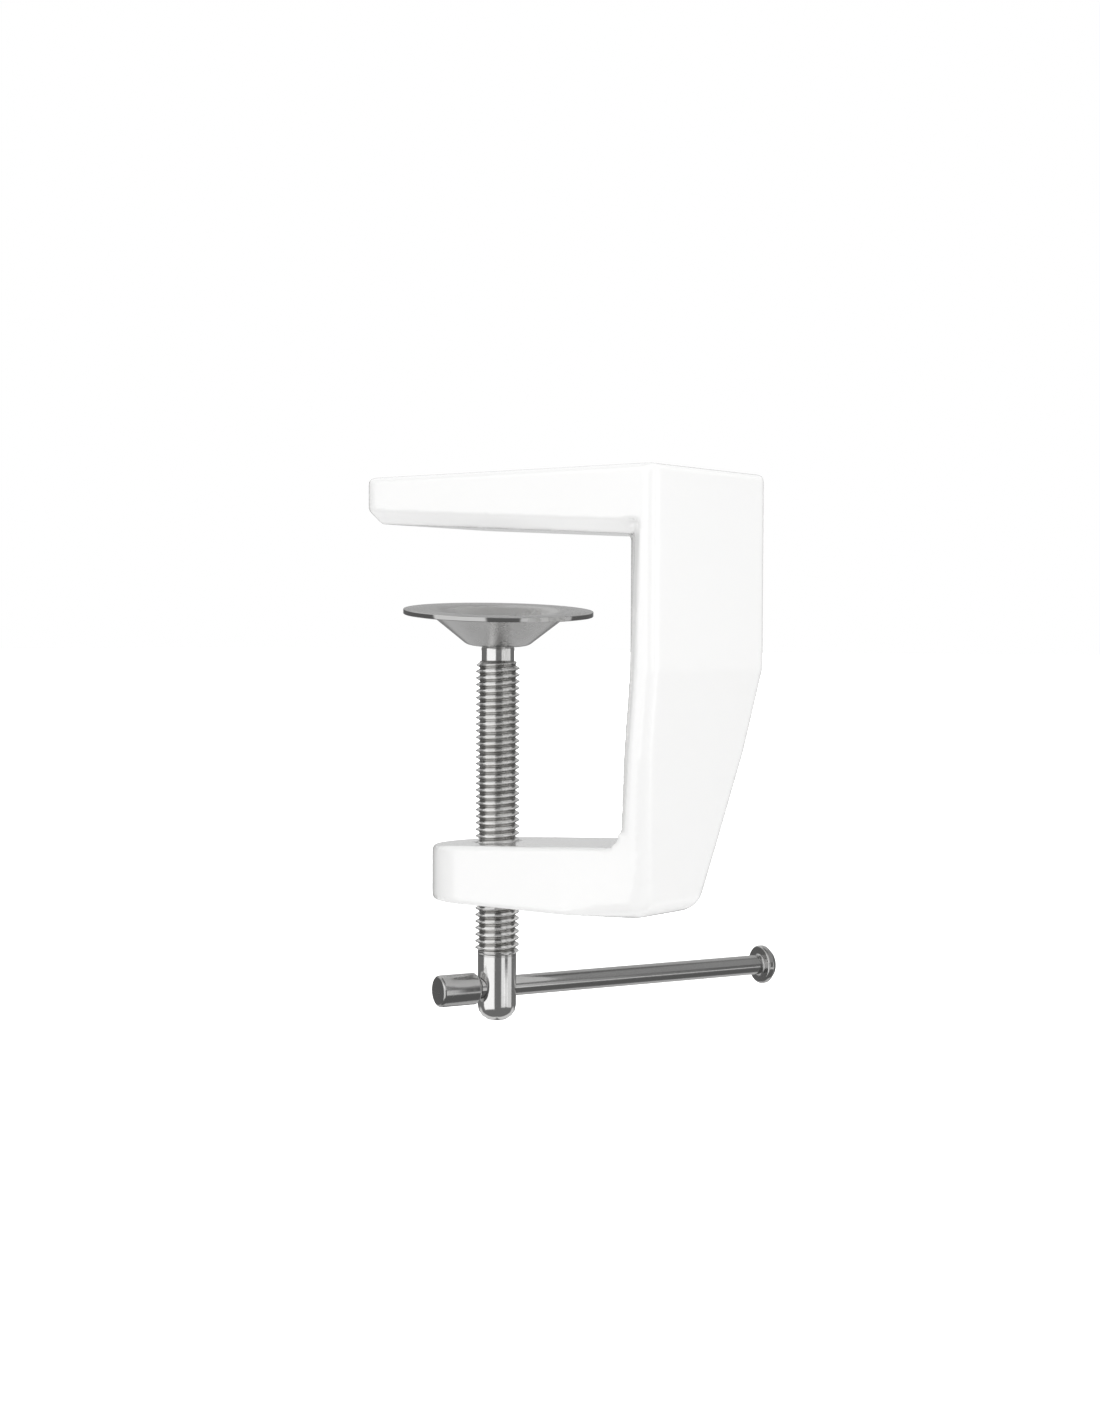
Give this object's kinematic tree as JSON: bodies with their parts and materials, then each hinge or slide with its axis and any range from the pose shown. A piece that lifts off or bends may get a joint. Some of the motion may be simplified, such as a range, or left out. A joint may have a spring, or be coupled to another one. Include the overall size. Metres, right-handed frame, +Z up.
{
  "type": "bench clamp",
  "caption": "C-shaped bench clamp with a swivelling dish pad, a clamp screw with a sliding tommy bar, and a socket in the top for an upright post.",
  "frame": {"origin": "on the sloping jaw face under the top arm, where the axis of the clamp screw meets it", "axes": "+X from the open mouth of the clamp towards its spine, +Z up along the screw and the post socket, Y across the clamp"},
  "size_m": [0.0795, 0.092, 0.1231],
  "materials": {
    "frame_enamel": "gloss white enamel",
    "liner_nylon": "smooth",
    "bright_plate": "bright nickel plate",
    "pin_steel": "plated rivet",
    "pad_plate": "satin nickel plate"
  },
  "bodies": {
    "frame": {"clamp_frame": "frame_enamel", "post_liner": "liner_nylon"},
    "swivel": {"swivel_pin": "pin_steel"},
    "screw": {"clamp_screw": "bright_plate"},
    "pad": {"pressure_pad": "pad_plate"},
    "bar": {"tommy_bar": "bright_plate", "bar_cap": "bright_plate"}
  },
  "joints": [
    {"name": "screw_travel", "type": "slide", "parent": "frame", "child": "swivel", "axis": [0, 0, 1], "range_m": [-0.04275, 0.01425]},
    {"name": "screw_spin", "type": "hinge", "parent": "swivel", "child": "screw", "pos_m": [0, 0, -0.05], "axis": [0, 0, 1], "range_deg": [-10260, 3420]},
    {"name": "pad_tilt", "type": "hinge", "parent": "swivel", "child": "pad", "pos_m": [0, 0, -0.02542], "axis": [0.6691, 0.7431, 0], "range_deg": [-10.2, 0]},
    {"name": "bar_slide", "type": "slide", "parent": "screw", "child": "bar", "axis": [0.3987, 0.9171, 0], "range_m": [-0.0673, 0]}
  ],
  "couplings": [
    {"joint": "screw_travel", "follows": "screw_spin", "m_per_rad": 0.00023873}
  ]
}
